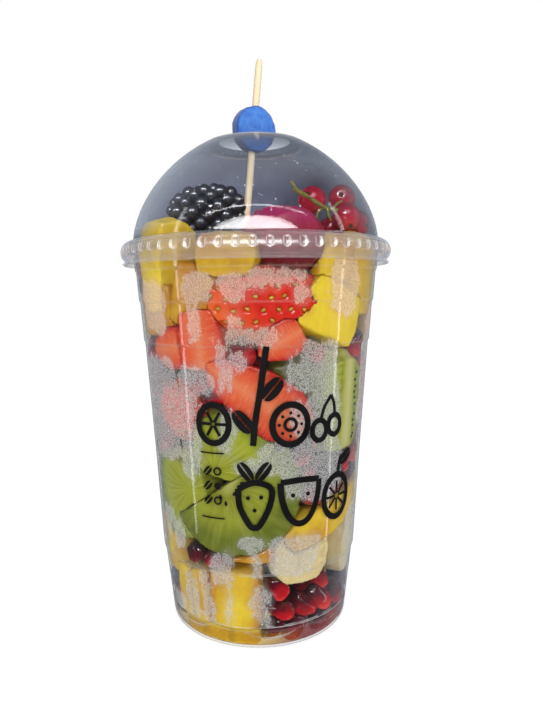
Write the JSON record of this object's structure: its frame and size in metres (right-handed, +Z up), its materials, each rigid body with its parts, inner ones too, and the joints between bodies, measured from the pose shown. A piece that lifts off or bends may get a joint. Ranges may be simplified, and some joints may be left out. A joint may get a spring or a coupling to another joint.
{
  "type": "fruit cup",
  "caption": "Clear plastic cup with a domed lid, filled with cut mixed fruit and pomegranate seeds, with berries on top and a wooden pick with a blue disc through the lid's hole.",
  "frame": {"origin": "middle of the cup's foot, on the surface it stands on", "axes": "+Z up along the cup's axis, -Y towards the front with the print"},
  "size_m": [0.102, 0.102, 0.2123],
  "materials": {
    "cup_plastic": "clear thin thermoformed plastic with a black print on the front",
    "lid_plastic": "clear thin thermoformed plastic",
    "juice": "clear amber fruit juice",
    "pick_wood": "pale raw wood",
    "disc_felt": "matte pressed felt",
    "mango": "wet smooth cut mango flesh",
    "strawberry": "wet strawberry, glossy red skin with pale seeds and salmon cut faces",
    "kiwi": "wet green flesh with rays, black seeds and a pale core",
    "melon": "wet pale cut flesh",
    "dragonfruit": "wet magenta flesh with small black seeds",
    "dark_berry": "glossy blue-black drupelets",
    "currant": "glossy translucent red skin",
    "currant_stalk": "matte green-brown stalk",
    "pomegranate": "glossy translucent dark red seeds"
  },
  "bodies": {
    "root": {"cup": "cup_plastic", "currant_1": "currant", "currant_2": "currant", "currant_3": "currant", "currant_4": "currant", "currant_5": "currant", "currant_stalk": "currant_stalk", "dark_berry": "dark_berry", "dragonfruit": "dragonfruit", "juice": "juice", "kiwi_back_1": "kiwi", "kiwi_back_13": "kiwi", "kiwi_back_7": "kiwi", "kiwi_crest": "kiwi", "kiwi_half": "kiwi", "kiwi_right": "kiwi", "kiwi_shade": "kiwi", "kiwi_side": "kiwi", "kiwi_upper": "kiwi", "lid": "lid_plastic", "mango_amber": "mango", "mango_back_10": "mango", "mango_back_12": "mango", "mango_back_4": "mango", "mango_back_6": "mango", "mango_block": "mango", "mango_centre": "mango", "mango_crest": "mango", "mango_edge": "mango", "mango_fog": "mango", "mango_low": "mango", "mango_right": "mango", "mango_side": "mango", "mango_slant": "mango", "mango_strip_1": "mango", "mango_strip_2": "mango", "mango_top": "mango", "mango_wedge": "mango", "melon_back_15": "melon", "melon_back_3": "melon", "melon_back_9": "melon", "melon_front": "melon", "melon_right": "melon", "pick": "pick_wood", "pick_disc": "disc_felt", "pomegranate_heap": "pomegranate", "strawberry_back_11": "strawberry", "strawberry_back_14": "strawberry", "strawberry_back_2": "strawberry", "strawberry_back_5": "strawberry", "strawberry_back_8": "strawberry", "strawberry_big": "strawberry", "strawberry_crest": "strawberry", "strawberry_fog": "strawberry", "strawberry_left": "strawberry", "strawberry_long": "strawberry", "strawberry_side": "strawberry", "strawberry_wedge": "strawberry"}
  },
  "joints": []
}
